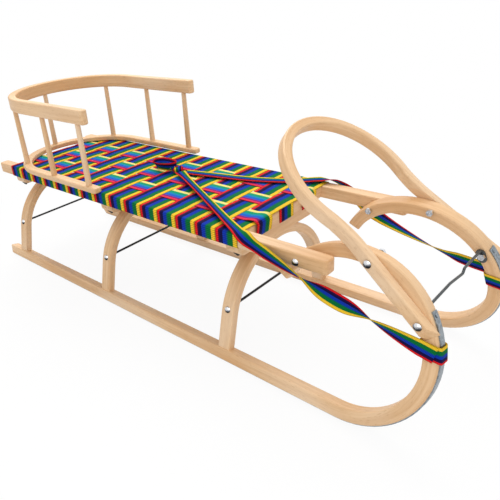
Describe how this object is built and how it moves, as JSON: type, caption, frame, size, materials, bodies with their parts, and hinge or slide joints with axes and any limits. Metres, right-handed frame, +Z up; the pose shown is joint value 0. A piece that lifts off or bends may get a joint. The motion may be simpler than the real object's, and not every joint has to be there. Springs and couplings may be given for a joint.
{
  "type": "wooden horn sled",
  "caption": "Bentwood horn sled with leaning curled runners on steel shoes, arched trestles, a woven webbing seat, a spindled backrest and a pull strap.",
  "frame": {"origin": "on the ground under the middle of the sled", "axes": "+X forward, +Y to the sled's left, +Z up"},
  "size_m": [1.1751, 0.3588, 0.442],
  "materials": {
    "beech": "clear satin varnish",
    "galvanised_steel": "galvanised",
    "black_steel": "black paint",
    "chrome": "polished",
    "seat_webbing": "woven, striped red, purple, blue, green and yellow",
    "strap_webbing": "woven, striped red, purple, blue, green and yellow"
  },
  "bodies": {
    "root": {"runner_left": "beech", "runner_right": "beech", "seat_rail_left": "beech", "seat_rail_right": "beech", "trestle_rear": "beech", "trestle_middle": "beech", "trestle_front": "beech", "crossbeam_rear": "beech", "crossbeam_middle": "beech", "crossbeam_front": "beech", "seat_bar_front": "beech", "seat_bar_rear": "beech", "horn_bow": "beech", "backrest_lower_bow": "beech", "backrest_upper_bow": "beech", "backrest_spindles": "beech", "runner_shoe_left": "galvanised_steel", "runner_shoe_right": "galvanised_steel", "front_cross_rod": "galvanised_steel", "tie_rod_rear": "black_steel", "tie_rod_middle": "black_steel", "tie_rod_front": "black_steel", "trestle_domes": "chrome", "carriage_bolts": "chrome", "webbing_cross_bands": "seat_webbing", "webbing_wraps": "seat_webbing", "webbing_strap_left": "seat_webbing", "webbing_strap_middle": "seat_webbing", "webbing_strap_right": "seat_webbing", "strap_loop_left": "strap_webbing", "strap_loop_right": "strap_webbing", "pull_strap_left": "strap_webbing", "pull_strap_right": "strap_webbing", "pull_strap_knot": "strap_webbing"}
  },
  "joints": []
}
